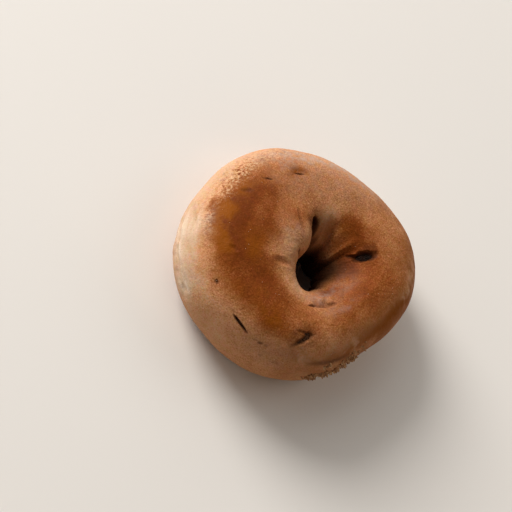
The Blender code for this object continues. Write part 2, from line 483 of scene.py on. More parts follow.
class Graph:
    """Adds and links the nodes of one tree, in the order they are asked for."""

    def __init__(self, tree: bpy.types.NodeTree) -> None:
        """Empties the tree.

        Args:
            tree: A shader or geometry node tree.
        """
        self.tree = tree
        self.tree.nodes.clear()
        self.column = 0

    def add(self, kind: str, inputs: dict | None = None, **settings: object) -> bpy.types.Node:
        """Adds a node.

        Args:
            kind: The node's type name.
            inputs: Values or sockets for its inputs, by name or index.
            **settings: Properties of the node itself.

        Returns:
            The new node.
        """
        node = self.tree.nodes.new(kind)
        node.location = (180 * self.column, -220 * (self.column % 3))
        self.column += 1
        for name, value in settings.items():
            setattr(node, name, value)
        for key, value in (inputs or {}).items():
            self.feed(node.inputs[key], value)
        return node

    def feed(self, socket: bpy.types.NodeSocket, value: object) -> None:
        """Links a socket to an input, or sets the input's own value."""
        if isinstance(value, bpy.types.NodeSocket):
            self.tree.links.new(value, socket)
        else:
            socket.default_value = value

    def math(self, operation: str, *values: object) -> bpy.types.NodeSocket:
        """One Math node.

        Args:
            operation: Blender's name of the operation.
            *values: Its one to three inputs.

        Returns:
            The result's socket.
        """
        inputs = dict(enumerate(values))
        return self.add("ShaderNodeMath", inputs, operation=operation).outputs[0]

    def noise(self, vector: object, scale: object, **inputs: object) -> bpy.types.NodeSocket:
        """A noise texture's value.

        Args:
            vector: Where it is read.
            scale: Its scale.
            **inputs: Further inputs by name, such as Detail.

        Returns:
            The socket of its value, about 0.5 on average.
        """
        names = {key.title(): value for key, value in inputs.items()}
        names |= {"Vector": vector, "Scale": scale}
        return self.add("ShaderNodeTexNoise", names).outputs[0]

    def spread(self, value: object, low: float, high: float) -> bpy.types.NodeSocket:
        """Eases a value from 0 at low to 1 at high."""
        inputs = {"Value": value, "From Min": low, "From Max": high}
        return self.add(
            "ShaderNodeMapRange", inputs, interpolation_type="SMOOTHSTEP"
        ).outputs["Result"]

    def colour_ramp(self, value: object, stops: dict[float, Colour]) -> bpy.types.NodeSocket:
        """A colour ramp.

        Args:
            value: The place on the ramp.
            stops: Colours by their place.

        Returns:
            The colour's socket.
        """
        node = self.add("ShaderNodeValToRGB", {"Fac": value})
        elements = node.color_ramp.elements
        while len(elements) > 1:
            elements.remove(elements[0])
        for index, (place, colour) in enumerate(sorted(stops.items())):
            element = elements[0] if index == 0 else elements.new(place)
            element.position = place
            element.color = (*colour, 1.0)
        return node.outputs["Color"]

    def blend(self, factor: object, first: object, second: object,
              mode: str = "MIX") -> bpy.types.NodeSocket:
        """Mixes two colours.

        Args:
            factor: How much of the second.
            first: A colour's socket.
            second: A socket, or a colour of three numbers.
            mode: Blender's name of the blend.

        Returns:
            The mixed colour's socket.
        """
        if not isinstance(second, bpy.types.NodeSocket):
            second = (*second, 1.0)
        node = self.add("ShaderNodeMix", data_type="RGBA", blend_type=mode)
        self.feed(node.inputs[0], factor)
        self.feed(node.inputs[6], first)
        self.feed(node.inputs[7], second)
        return node.outputs[2]

    def mask(self, mask: Mask) -> bpy.types.NodeSocket:
        """Reads one of the crust's masks in a material."""
        node = self.add("ShaderNodeAttribute", attribute_name=mask.value)
        return node.outputs["Fac"]

    def spots(self, place: object, scale: float, low: float, high: float) -> bpy.types.NodeSocket:
        """Small round spots, by the distance from the middles of cells.

        Args:
            place: Where they are read.
            scale: Scale of the cells.
            low: Distance at which the value is 0.
            high: Distance at which it is 1.

        Returns:
            The value's socket.
        """
        cells = self.add("ShaderNodeTexVoronoi", {"Vector": place, "Scale": scale})
        return self.spread(cells.outputs["Distance"], low, high)

    def bump(self, height: object, strength: float) -> bpy.types.NodeSocket:
        """The normal that a height in metres gives."""
        inputs = {"Height": height, "Distance": 1.0, "Strength": strength}
        return self.add("ShaderNodeBump", inputs).outputs["Normal"]


def new_finish(name: str) -> tuple[bpy.types.Material, Graph, bpy.types.NodeSocket]:
    """Starts a material.

    Args:
        name: The material's name.

    Returns:
        The material, its graph and its Object coordinates.
    """
    made = bpy.data.materials.new(name)
    made.use_nodes = True
    graph = Graph(made.node_tree)
    return made, graph, graph.add("ShaderNodeTexCoord").outputs["Object"]


def surface(graph: Graph, inputs: dict[str, object]) -> None:
    """Ends a material with its shader, which takes values or sockets by name."""
    shader = graph.add("ShaderNodeBsdfPrincipled", inputs)
    graph.add("ShaderNodeOutputMaterial", {"Surface": shader.outputs["BSDF"]})


def new_tree(name: str, sizes: tuple[str, ...]) -> tuple[bpy.types.NodeTree, Graph, object]:
    """Starts a geometry tree.

    Args:
        name: The tree's name.
        sizes: Names of its inputs that are sizes.

    Returns:
        The tree, its graph and the sockets of its inputs by name.
    """
    tree = bpy.data.node_groups.new(name, "GeometryNodeTree")
    kinds = {"Geometry": "Geometry", **dict.fromkeys(sizes, "Float"),
             "Seed": "Int", "Material": "Material"}
    for label, kind in kinds.items():
        tree.interface.new_socket(label, in_out="INPUT", socket_type="NodeSocket" + kind)
    tree.interface.new_socket("Geometry", in_out="OUTPUT", socket_type="NodeSocketGeometry")
    graph = Graph(tree)
    return tree, graph, graph.add("NodeGroupInput").outputs


def end_tree(graph: Graph, geometry: bpy.types.NodeSocket, material: bpy.types.NodeSocket) -> None:
    """Ends a geometry tree with real geometry that wears its material."""
    real = graph.add("GeometryNodeRealizeInstances", {0: geometry})
    dressed = graph.add("GeometryNodeSetMaterial", {
        "Geometry": real.outputs[0], "Material": material})
    graph.add("NodeGroupOutput", {0: dressed.outputs[0]})


# Finishes


@dataclass(frozen=True)
class Layer:
    """A colour laid over the crust where a mask and a texture are both high."""

    mask: Mask
    texture: Texture
    low: float
    high: float
    colour: Colour


@dataclass(frozen=True)
class CrustFinish:
    """Baked crust, from pale sides with flour and painted sheen to an amber crown."""

    name: str = "crust"
    cream: Colour = (0.53, 0.350, 0.225)
    tan: Colour = (0.53, 0.256, 0.118)
    brown: Colour = (0.335, 0.124, 0.040)
    chestnut: Colour = (0.205, 0.052, 0.009)
    dark: Colour = (0.130, 0.028, 0.004)
    cracks: Colour = (0.21, 0.050, 0.012)
    # Berry juice, and painted shade in the folds, pits and the crease, through the same mask
    juice: Colour = (0.056, 0.016, 0.005)
    # Painted shade deep in the funnel and along its shadow streaks
    deep: Colour = (0.030, 0.010, 0.004)
    crumb: Colour = (0.50, 0.29, 0.15)
    rosy: Colour = (1.05, 0.965, 1.04)
    olive: Colour = (0.98, 1.01, 0.91)
    tint_scale: float = 380.0
    dot_scale: float = 560.0
    dot_share: float = 0.30
    shine: float = 0.04
    matt: float = 0.66
    baked_sheen: float = 0.22
    wrinkle_height: float = 0.00030
    grain_height: float = 0.00013
    pore_height: float = 0.00003
    blister_bump: float = 2.8
    swings: tuple[tuple[Texture, float], ...] = (
        (Texture.CLOUD, 0.20),
        (Texture.MOTTLE, 0.28),
        (Texture.GRAIN, 0.74),
    )
    layers: tuple[Layer, ...] = (
        Layer(Mask.AMBER, Texture.CLOUD, 0.28, 0.50, (0.235, 0.062, 0.0015)),
        Layer(Mask.BLISTER, Texture.FLAKES, 0.51, 0.60, (0.62, 0.38, 0.22)),
        Layer(Mask.BLISTER, Texture.FLAKES, 0.47, 0.38, (0.21, 0.050, 0.012)),
        # Pale dust, and painted sheen on the rims and the left shoulder
        Layer(Mask.DUSTY, Texture.MOTTLE, 0.25, 0.75, (0.41, 0.295, 0.235)),
        # Flour, and painted sheen along the lit left wall
        Layer(Mask.FLOURY, Texture.MOTTLE, 0.10, 0.50, (0.72, 0.595, 0.465)),
    )

    def material(self) -> bpy.types.Material:
        """Builds the crust's material.

        Returns:
            The material, which reads the crust's masks and Object coordinates.
        """
        made, graph, place = new_finish(self.name)
        surface(graph, {
            "Base Color": self.colour(graph, place), "Specular IOR Level": self.shine,
            "Roughness": self.roughness(graph, place), "Normal": self.bump(graph, place)})
        return made

    def colour(self, graph: Graph, place: bpy.types.NodeSocket) -> bpy.types.NodeSocket:
        """The crust's colour.

        Args:
            graph: The material's graph.
            place: Object coordinates.

        Returns:
            The colour's socket.
        """
        textures = {}
        for texture in Texture:
            scale, detail, rough = texture.value
            textures[texture] = graph.noise(place, scale, detail=detail, roughness=rough)
        level = graph.mask(Mask.BAKE)
        for texture, amount in self.swings:
            swing = graph.math("SUBTRACT", textures[texture], 0.5)
            level = graph.math("ADD", level, graph.math("MULTIPLY", swing, amount))
        stops = {0.0: self.cream, 0.27: self.tan, 0.52: self.brown,
                 0.76: self.chestnut, 1.0: self.dark}
        colour = graph.colour_ramp(level, stops)
        tint = graph.noise(place, self.tint_scale, detail=3.0)
        hues = graph.colour_ramp(tint, {0.35: self.rosy, 0.65: self.olive})
        colour = graph.blend(1.0, colour, hues, "MULTIPLY")
        for layer in self.layers:
            broken = graph.spread(textures[layer.texture], layer.low, layer.high)
            share = graph.math("MULTIPLY", graph.mask(layer.mask), broken)
            colour = graph.blend(share, colour, layer.colour)
        # Painted shade in the funnel's depth and along its shadow streaks
        colour = graph.blend(graph.mask(Mask.SHADE), colour, self.deep)
        dots = graph.spots(place, self.dot_scale, 0.26, 0.08)
        colour = graph.blend(graph.math("MULTIPLY", dots, self.dot_share), colour, self.cracks)
        strands = graph.spread(textures[Texture.GRAIN], 0.4, 0.65)
        torn = graph.math("MULTIPLY", graph.mask(Mask.TORN), strands)
        colour = graph.blend(torn, colour, self.crumb)
        # Berry juice round the berries, and painted shade in the folds, pits and the crease
        return graph.blend(graph.mask(Mask.STAIN), colour, self.juice)

    def roughness(self, graph: Graph, place: bpy.types.NodeSocket) -> bpy.types.NodeSocket:
        """How rough the crust is: satin on the crown and matt where it is pale.

        Args:
            graph: The material's graph.
            place: Object coordinates.

        Returns:
            The roughness's socket.
        """
        patchy = graph.noise(place, 240.0, detail=3.0)
        base = graph.math("MULTIPLY_ADD", graph.mask(Mask.BAKE), -self.baked_sheen, self.matt)
        return graph.math("MULTIPLY_ADD", graph.math("SUBTRACT", patchy, 0.5), 0.22, base)

    def bump(self, graph: Graph, place: bpy.types.NodeSocket) -> bpy.types.NodeSocket:
        """Fine grain, wrinkles and pores of the crust.

        Args:
            graph: The material's graph.
            place: Object coordinates.

        Returns:
            The normal's socket.
        """
        wrinkle = graph.noise(place, 680.0, detail=3.0, roughness=0.62, distortion=0.6)
        grain = graph.noise(place, 1700.0, detail=2.0, roughness=0.5)
        pores = graph.spots(place, 620.0, 0.02, 0.16)
        rough = graph.math("MULTIPLY_ADD", graph.mask(Mask.BLISTER), self.blister_bump, 1.0)
        height = graph.math("MULTIPLY", wrinkle, self.wrinkle_height)
        height = graph.math("MULTIPLY_ADD", grain, self.grain_height, height)
        height = graph.math("MULTIPLY", height, rough)
        height = graph.math("MULTIPLY_ADD", pores, self.pore_height, height)
        return graph.bump(height, 0.9)


@dataclass(frozen=True)
class BerryFinish:
    """Baked blueberry skin: near black and moist, greyer brown where it is dry."""

    name: str = "blueberry"
    skin: Colour = (0.007, 0.003, 0.0015)
    juice: Colour = (0.020, 0.006, 0.003)
    dry: Colour = (0.135, 0.062, 0.030)
    shine: float = 0.04
    bump_height: float = 0.0006

    def material(self) -> bpy.types.Material:
        """Builds the berries' material, which reads how dry each skin is."""
        made, graph, place = new_finish(self.name)
        dry = graph.add("ShaderNodeAttribute", attribute_name="dry").outputs["Fac"]
        cloud = graph.noise(place, 420.0, detail=3.0)
        fine = graph.noise(place, 1500.0, detail=3.0)
        colour = graph.colour_ramp(cloud, {0.35: self.skin, 0.7: self.juice})
        worn = graph.math("MULTIPLY", dry, graph.spread(fine, 0.3, 0.7))
        rough = graph.math("MULTIPLY_ADD", dry, 0.30, 0.30)
        height = graph.math("MULTIPLY", fine, self.bump_height)
        surface(graph, {
            "Base Color": graph.blend(worn, colour, self.dry),
            "Specular IOR Level": self.shine,
            "Roughness": graph.math("MULTIPLY_ADD", fine, 0.15, rough),
            "Normal": graph.bump(height, 0.8)})
        return made


@dataclass(frozen=True)
class GrainFinish:
    """Loose crumbs or specks: one colour with a little noise."""

    name: str
    light: Colour
    dark: Colour
    roughness: float

    def material(self) -> bpy.types.Material:
        """Builds the material of the loose grains."""
        made, graph, place = new_finish(self.name)
        cloud = graph.noise(place, 900.0, detail=2.0)
        colour = graph.colour_ramp(cloud, {0.3: self.dark, 0.7: self.light})
        surface(graph, {"Base Color": colour, "Roughness": self.roughness})
        return made


@dataclass(frozen=True)
class FloorFinish:
    """A plain pale studio floor."""

    name: str = "floor"
    colour: Colour = (0.80, 0.775, 0.745)
    roughness: float = 0.6

    def material(self) -> bpy.types.Material:
        """Builds the floor's material."""
        made, graph, _ = new_finish(self.name)
        surface(graph, {"Base Color": (*self.colour, 1.0), "Roughness": self.roughness})
        return made


# Pieces


def link(name: str, mesh: bpy.types.Mesh) -> bpy.types.Object:
    """Puts a mesh in the scene as an object at the origin."""
    piece = bpy.data.objects.new(name, mesh)
    bpy.context.scene.collection.objects.link(piece)
    return piece


def settle(source: bpy.types.Object, name: str, material: bpy.types.Material) -> bpy.types.Object:
    """Turns an object with a Geometry Nodes modifier into a plain mesh object.

    Args:
        source: The object with the modifier, which is removed.
        name: The new piece's name.
        material: The piece's material.

    Returns:
        The plain piece.
    """
    graph = bpy.context.evaluated_depsgraph_get()
    mesh = bpy.data.meshes.new_from_object(source.evaluated_get(graph), depsgraph=graph)
    source.modifiers.clear()
    bpy.data.objects.remove(source)
    mesh.name = name
    mesh.materials.clear()
    mesh.materials.append(material)
    return link(name, mesh)


@dataclass(frozen=True)
class CrustRelief:
    """Geometry Nodes tree that raises the crust's small relief along its normals."""

    undulation: float = 0.00016
    undulation_scale: float = 120.0
    grain: float = 0.000085
    grain_scale: float = 480.0
    blister: float = 0.00052
    blister_scale: float = 430.0
    torn: float = 0.0017
    torn_scale: float = 520.0
    seed: int = 3

    def tree(self) -> bpy.types.NodeTree:
        """Builds the tree with a named input for each size.

        Returns:
            The geometry node tree.
        """
        layers = (("Undulation", None, 0.5), ("Grain", None, 0.5),
                  ("Blister", Mask.BLISTER, 0.45), ("Torn", Mask.TORN, 0.53))
        sizes = tuple(layer[0] + end for layer in layers for end in ("", " Scale"))
        tree, graph, given = new_tree("crust_relief", sizes)
        place = graph.add("GeometryNodeInputPosition").outputs[0]
        whole: object = 0.0
        for name, mask, middle in layers:
            texture = graph.add("ShaderNodeTexNoise", {
                "Vector": place, "W": given["Seed"], "Scale": given[name + " Scale"],
                "Detail": 3.0, "Roughness": 0.55}, noise_dimensions="4D").outputs[0]
            height = graph.math("MULTIPLY", graph.math("SUBTRACT", texture, middle), 2.0)
            height = graph.math("MULTIPLY", height, given[name])
            if mask is not None:
                height = graph.math("MULTIPLY", height, self.read(graph, mask))
            whole = graph.math("ADD", height, whole)
        whole = graph.math("MULTIPLY", whole, self.read(graph, Mask.FREE))
        normal = graph.add("GeometryNodeInputNormal").outputs[0]
        offset = graph.add("ShaderNodeVectorMath", {0: normal, "Scale": whole}, operation="SCALE")
        moved = graph.add("GeometryNodeSetPosition", {
            "Geometry": given["Geometry"], "Offset": offset.outputs[0]})
        end_tree(graph, moved.outputs[0], given["Material"])
        return tree

    @staticmethod
    def read(graph: Graph, mask: Mask) -> bpy.types.NodeSocket:
        """Reads a mask inside a geometry tree."""
        node = graph.add("GeometryNodeInputNamedAttribute", {"Name": mask.value})
        return node.outputs["Attribute"]

    def apply(self, piece: bpy.types.Object, material: bpy.types.Material) -> bpy.types.Object:
        """Raises the relief of a piece.

        Args:
            piece: The crust with its masks.
            material: The crust's material.

        Returns:
            The finished plain mesh object.
        """
        name = piece.name
        dress(piece, self.tree(), self, material)
        return settle(piece, name, material)


def dress(piece: bpy.types.Object, tree: bpy.types.NodeTree, sizes: object,
          material: bpy.types.Material) -> None:
    """Gives a piece a Geometry Nodes modifier with its inputs set.

    Args:
        piece: The object.
        tree: The geometry tree.
        sizes: What holds the seed and the sizes, under the names of the tree's inputs.
        material: The piece's material.
    """
    modifier = piece.modifiers.new(tree.name, "NODES")
    modifier.node_group = tree
    for item in tree.interface.items_tree:
        if item.in_out != "INPUT" or item.name == "Geometry":
            continue
        field = item.name.lower().replace(" ", "_")
        modifier[item.identifier] = material if field == "material" else getattr(sizes, field)


@dataclass
class Crust:
    """The bagel's crust: one closed mesh over the dough, finer where it is torn or dented.

    Marks are pressed into it. The patches that brown or pale the crust, amber, a pale dusting
    with painted sheen, and the rest add to the mask of their name, or take from it where they
    are below 0. Among the brown and pale patches are painted shade on the funnel's far wall and
    the lower side, and painted light on the lip's shaded slopes. They drift by a smooth random
    field, so that no edge looks drawn. Ember, corner, painted_sheen and powder lie at the left
    corner of the crown and stay in place: red crust, amber crust, a painted pale sheen, and flour
    with painted sheen.
    """

    form: DoughForm
    ring_steps: int = 416
    section_steps: int = 166
    ring_seam: float = 90.0
    section_seam: float = -90.0
    base_density: float = 0.35
    weld: float = 1e-6
    marks: tuple[Mark, ...] = (
        # Pocket, tail and juice of the funnel's berry
        Mark(49.2, 117.0, 0.0082, 0.0036, 0.0030, -88.0, 0.75, 0.0, 1.0, 1.4),
        Mark(52.2, 127.5, 0.0064, 0.0016, 0.0013, 72.0, 0.9, 0.0, 0.70, 1.3),
        Mark(53.0, 111.5, 0.0070, 0.0050, 0.0001, -76.0, 0.95, 0.0, 0.45, 1.2),
        # Wrinkles and juice of the near berry
        Mark(301.4, 67.2, 0.0070, 0.0018, 0.0009, 40.0, 0.9, 0.0, 0.74, 2.2),
        Mark(303.6, 73.3, 0.0034, 0.0028, 0.0009, 20.0, 0.9, 0.0, 0.68, 2.2),
        Mark(301.5, 76.6, 0.0050, 0.0013, 0.0005, -3.0, 0.9, 0.0, 0.50, 2.2),
        Mark(301.0, 70.8, 0.0098, 0.0074, 0.0003, 46.0, 0.95, 0.0, 0.34, 1.6),
        # The slit and its faint end
        Mark(268.2, 43.2, 0.0068, 0.0011, 0.0017, -8.0, 0.7, 0.00006, 0.86, 1.4),
        Mark(260.5, 47.0, 0.0040, 0.0007, 0.0002, 14.0, 0.8, 0.0, 0.25, 1.4),
        # Pit, cracks and dimple of the far crown
        Mark(144.5, 77.5, 0.0060, 0.0030, 0.0004, 160.0, 0.9, 0.0, 0.10, 1.6),
        Mark(143.2, 80.5, 0.0036, 0.0006, 0.0007, 165.0, 0.7, 0.0, 0.85, 1.2),
        Mark(166.5, 74.0, 0.0028, 0.0007, 0.0005, 129.0, 0.7, 0.0, 0.90, 1.2),
        Mark(168.8, 71.6, 0.0024, 0.0005, 0.0002, 110.0, 0.7, 0.0, 0.45, 1.2),
        Mark(184.0, 68.0, 0.0036, 0.0015, 0.0004, 127.0, 0.8, 0.0001, 0.42, 1.6),
        # Painted shade in the corner of the lip's fold; pin pits and specks
        Mark(132.5, 129.0, 0.0034, 0.0044, 0.0016, 0.0, 0.8, 0.0, 0.90, 1.0),
        Mark(244.0, 48.5, 0.0014, 0.0012, 0.0007, 0.0, 0.7, 0.0, 0.8, 1.4),
        Mark(179.5, 31.5, 0.0007, 0.0007, 0.0004, 0.0, 0.7, 0.0, 0.6, 1.2),
        Mark(282.2, 41.2, 0.0018, 0.0009, 0.0004, 22.0, 0.8, 0.0, 0.60, 1.4),
        Mark(279.3, 41.0, 0.0018, 0.0006, 0.0002, 22.0, 0.8, 0.0, 0.30, 1.4),
        Mark(285.2, 43.0, 0.0013, 0.0010, 0.0001, 0.0, 0.8, 0.0, 0.30, 1.6),
        Mark(286.0, 26.0, 0.0012, 0.0010, 0.0001, 0.0, 0.8, 0.0, 0.25, 1.8),
        Mark(294.0, 27.0, 0.0016, 0.0014, 0.0001, 0.0, 0.8, 0.0, 0.22, 1.8),
        Mark(285.0, 4.0, 0.0010, 0.0008, 0.0001, 0.0, 0.8, 0.0, 0.25, 1.8),
        # Dent, notch and creases of the lip, and folds of the crust, darkened with painted shade
        Mark(241.0, 113.0, 0.0066, 0.0026, 0.0005, 78.0, 0.9, 0.0001, 0.10, 1.5),
        Mark(213.0, 141.0, 0.0046, 0.0013, 0.0005, 88.0, 0.8, 0.0, 0.92, 1.3),
        Mark(165.8, 111.5, 0.0070, 0.0011, 0.0004, 48.0, 0.8, 0.0, 0.30, 1.5),
        Mark(206.2, 26.0, 0.0110, 0.0014, 0.0004, 29.0, 0.8, 0.0001, 0.10, 1.5),
        Mark(227.5, 75.0, 0.0034, 0.0016, 0.0004, 48.0, 0.8, 0.0002, 0.05, 1.5),
        Mark(352.0, 122.0, 0.0070, 0.0006, 0.0004, 38.0, 0.9, 0.0, 0.20, 1.4),
        # Pits under the near lip, darkened with painted shade
        Mark(303.5, 114.8, 0.0034, 0.0011, 0.0008, 10.0, 0.8, 0.0, 0.55, 1.2),
        Mark(328.0, 115.6, 0.0034, 0.0015, 0.0006, -10.0, 0.8, 0.0, 0.40, 1.6),
    )
    fine_spots: tuple[Patch, ...] = (
        Patch(49.0, 124.0, 9.5, 20.0, 2),
        Patch(301.5, 70.0, 7.5, 13.0, 2),
        Patch(268.3, 43.5, 6.5, 5.0, 2),
        Patch(144.5, 78.0, 6.0, 7.0, 1),
        Patch(167.0, 74.0, 4.0, 6.0, 1),
        Patch(-45.0, 113.0, 22.0, 8.0, 1),
        Patch(241.0, 112.0, 6.0, 9.0, 1),
    )
    # Browner and paler crust, with painted shade and painted light among the patches
    browning_and_shading: tuple[Patch, ...] = (
        Patch(207.0, 79.0, 40.0, 23.0, 0.46, 3.0),
        Patch(213.0, 71.0, 17.0, 13.0, 0.26, 6.0),
        Patch(183.0, 70.0, 15.0, 15.0, 0.18, 3.0),
        Patch(180.0, 94.0, 16.0, 8.0, -0.12),
        Patch(176.0, 119.0, 20.0, 8.0, 0.22, 3.0),
        Patch(148.0, 118.0, 14.0, 12.0, 0.18),
        Patch(262.0, 83.0, 34.0, 24.0, 0.34, 3.0),
        Patch(164.0, 106.0, 20.0, 12.0, 0.12),
        Patch(208.0, 112.0, 16.0, 10.0, -0.12),
        Patch(114.0, 129.0, 18.0, 24.0, -0.24),
        Patch(78.0, 117.0, 22.0, 12.0, 0.12),
        Patch(242.0, 79.0, 13.0, 8.0, -0.16),
        Patch(332.0, 67.0, 28.0, 18.0, -0.18),
        Patch(332.0, 130.0, 18.0, 9.0, 0.42),
        Patch(240.0, 114.0, 5.0, 8.0, 0.24),
        Patch(178.0, 120.0, 14.0, 7.0, 0.10),
        Patch(302.0, 124.0, 14.0, 10.0, 0.10),
        # Painted light on the lip's lower slope, which faces away from the key lamp
        Patch(268.0, 130.0, 22.0, 13.0, -0.15),
        Patch(306.0, 46.0, 30.0, 9.0, -0.12),
        Patch(245.0, 31.0, 20.0, 8.0, -0.10),
        Patch(325.0, 96.0, 44.0, 22.0, 0.08),
        # Painted shade down the funnel's far wall
        Patch(8.0, 120.0, 44.0, 36.0, 0.38, 3.0),
        Patch(70.0, 131.0, 30.0, 26.0, 0.38, 4.0),
        Patch(38.0, 137.0, 20.0, 14.0, 0.24, 3.0),
        Patch(314.0, 136.0, 30.0, 13.0, 0.18, 3.0),
        # Painted light on the lip's shaded inner slope
        Patch(214.0, 128.0, 34.0, 16.0, -0.08, 3.0),
        Patch(203.0, 6.0, 46.0, 33.0, -0.32, 4.0),
        Patch(243.0, 46.0, 16.0, 13.0, 0.16),
        Patch(5.0, 50.0, 50.0, 13.0, -0.20),
        Patch(352.0, 75.0, 42.0, 13.0, 0.13, 3.0),
        # Painted shade on the lower side below the torn flap
        Patch(355.0, 20.0, 60.0, 26.0, 0.16, 3.0),
        Patch(150.0, 64.0, 18.0, 14.0, 0.12),
        Patch(144.0, 76.5, 5.0, 4.0, 0.22),
        Patch(60.0, 52.0, 26.0, 14.0, 0.12),
    )
    amber: tuple[Patch, ...] = (
        Patch(213.0, 64.0, 15.0, 10.0, 0.85, 4.0),
        Patch(112.0, 138.0, 22.0, 22.0, 0.42, 3.0),
        Patch(308.0, 46.0, 26.0, 9.0, 0.30),
        Patch(240.0, 62.0, 10.0, 7.0, 0.35),
        Patch(223.0, 93.0, 16.0, 8.0, 0.6),
        Patch(178.0, 66.0, 14.0, 9.0, 0.75),
        Patch(277.0, 76.0, 14.0, 10.0, 0.6),
        Patch(145.0, 75.0, 5.0, 4.0, 0.8),
        Patch(96.0, 142.0, 28.0, 24.0, 0.22, 3.0),
        Patch(10.0, 54.0, 60.0, 18.0, 0.75),
        # Darker, more saturated lower side: painted shade
        Patch(2.0, 24.0, 55.0, 27.0, 0.60, 3.0),
    )
    # Pale dust, and painted sheen where the upper rim and left shoulder catch the light
    dust_and_sheen: tuple[Patch, ...] = (
        Patch(118.0, 53.0, 36.0, 14.0, 0.90, 3.0),
        Patch(150.0, 38.0, 20.0, 14.0, 0.55, 3.0),
        Patch(198.0, 116.0, 26.0, 12.0, 0.40),
        Patch(330.0, 101.0, 22.0, 8.0, 0.35),
        Patch(122.0, 80.0, 40.0, 16.0, 0.30, 3.0),
        Patch(312.0, 129.0, 26.0, 13.0, 0.60),
        Patch(4.0, 130.0, 26.0, 14.0, 0.25, 3.0),
        Patch(292.0, 30.0, 26.0, 20.0, 0.25),
    )
    blisters: tuple[Patch, ...] = (
        Patch(180.0, 49.0, 19.0, 8.0, 0.70),
        Patch(178.0, 40.0, 24.0, 14.0, 0.45),
        Patch(148.0, 42.0, 24.0, 12.0, 0.42),
        Patch(209.0, 47.0, 8.0, 6.5, 0.70),
    )
    # Flour, and painted sheen along the lit left wall
    floury: tuple[Patch, ...] = (
        Patch(228.0, 8.0, 14.0, 12.0, 0.85),
        Patch(212.0, 14.0, 12.0, 14.0, 0.35, 3.0),
    )
    torn: tuple[Patch, ...] = (
        Patch(-48.0, 12.0, 5.0, 6.0, 0.8, 3.0),
        Patch(-38.0, 7.0, 7.0, 9.0, 1.0, 3.0),
        Patch(-28.0, 12.0, 8.0, 14.0, 1.0, 3.0),
        Patch(-20.0, 26.0, 6.0, 11.0, 1.0, 3.0),
        Patch(-34.0, 30.0, 7.0, 6.0, 0.6, 3.0),
    )
    lumps_below: tuple[Patch, ...] = (
        Patch(315.5, 124.0, 5.5, 6.5, 0.0011),
        Patch(329.5, 123.0, 3.5, 5.0, 0.0006),
        Patch(303.0, 128.0, 4.0, 6.0, 0.0004),
    )
    # Painted shadow under the torn flap, along the lip's edge and fold, and down the funnel's far
    # wall
    shadow_streaks: tuple[Patch, ...] = (
        Patch(323.0, 38.5, 12.0, 4.0, 0.60, 3.0),
        Patch(129.5, 146.0, 5.5, 20.0, 0.93, 4.0),
        Patch(137.0, 126.5, 8.0, 3.5, 0.85, 3.0),
        Patch(150.0, 123.0, 6.0, 6.0, 0.60),
        Patch(214.5, 147.0, 5.0, 13.0, 0.92, 4.0),
        Patch(121.0, 166.0, 8.0, 12.0, 0.70, 3.0),
    )
    # Painted shade along the crease under the near lip
    crease_shade: Patch = Patch(315.5, 113.6, 17.0, 2.2, 0.45)
    ember: Patch = Patch(200.0, 44.0, 5.0, 4.5, 0.44, 3.0)
    corner: Patch = Patch(204.0, 56.5, 10.0, 7.5, 0.40, 4.0)
    # Painted pinkish-white sheen on the left shoulder
    painted_sheen: Patch = Patch(212.0, 47.0, 8.0, 6.0, 0.62)
    powder: Patch = Patch(212.0, 32.0, 9.0, 7.0, 0.40)
    rough_wall: Patch = Patch(225.0, -3.0, 24.0, 13.0, 1.0, 4.0)
    crags: tuple[Swell, ...] = (Swell(0.00012, 0.0085, 5), Swell(0.00010, 0.0032, 17))
    rolled_wall: Patch = Patch(214.0, 22.0, 26.0, 24.0, 0.00013, 4.0)
    rolled: Swell = Swell(1.0, 0.0026, 41)
    far_wall: Arc = Arc(88.0, 46.0, 1.0, 4.0)
    far_folds: Swell = Swell(0.00015, 0.0110, 43)
    fine_folds: Swell = Swell(0.00004, 0.0048, 47)
    ring_drift: Swell = Swell(4.0, 0.017, 61)
    section_drift: Swell = Swell(3.0, 0.014, 63)
    crest_drift: Swell = Swell(4.0, 0.017, 51)
    uneven_edge: Swell = Swell(0.06, 0.0028, 31)
    rim_width: float = 0.35
    bare_bake: float = 0.31
    crest_bake: float = 0.16
    # Browner base, and painted shade under the bagel
    base_browning_and_shade: float = 0.30
    shade_start: float = 162.0
    shade_sooner: tuple[Arc, ...] = (Arc(18.0, 50.0, 28.0, 4.0), Arc(50.0, 34.0, 16.0, 3.0))
    shade_depth: float = 0.95

    def sections(self) -> np.ndarray:
        """Section angles that space the mesh evenly along the section, wider on the base.

        Returns:
            Angles in degrees from the seam once round.
        """
        fine = np.linspace(0.0, 360.0, 1441) + self.section_seam
        rings = np.arange(0.0, 360.0, 30.0)[:, None]
        points = self.form.smooth(rings, fine[None, :])
        length = np.linalg.norm(np.diff(points, axis=1), axis=-1).mean(0)
        middle = (fine[1:] + fine[:-1]) / 2.0
        under = np.abs(turned(middle - 270.0)) < 60.0
        travelled = np.cumsum(length * np.where(under, self.base_density, 1.0))
        travelled = np.concatenate(([0.0], travelled)) / travelled[-1]
        return np.interp(np.linspace(0.0, 1.0, self.section_steps + 1), travelled, fine)

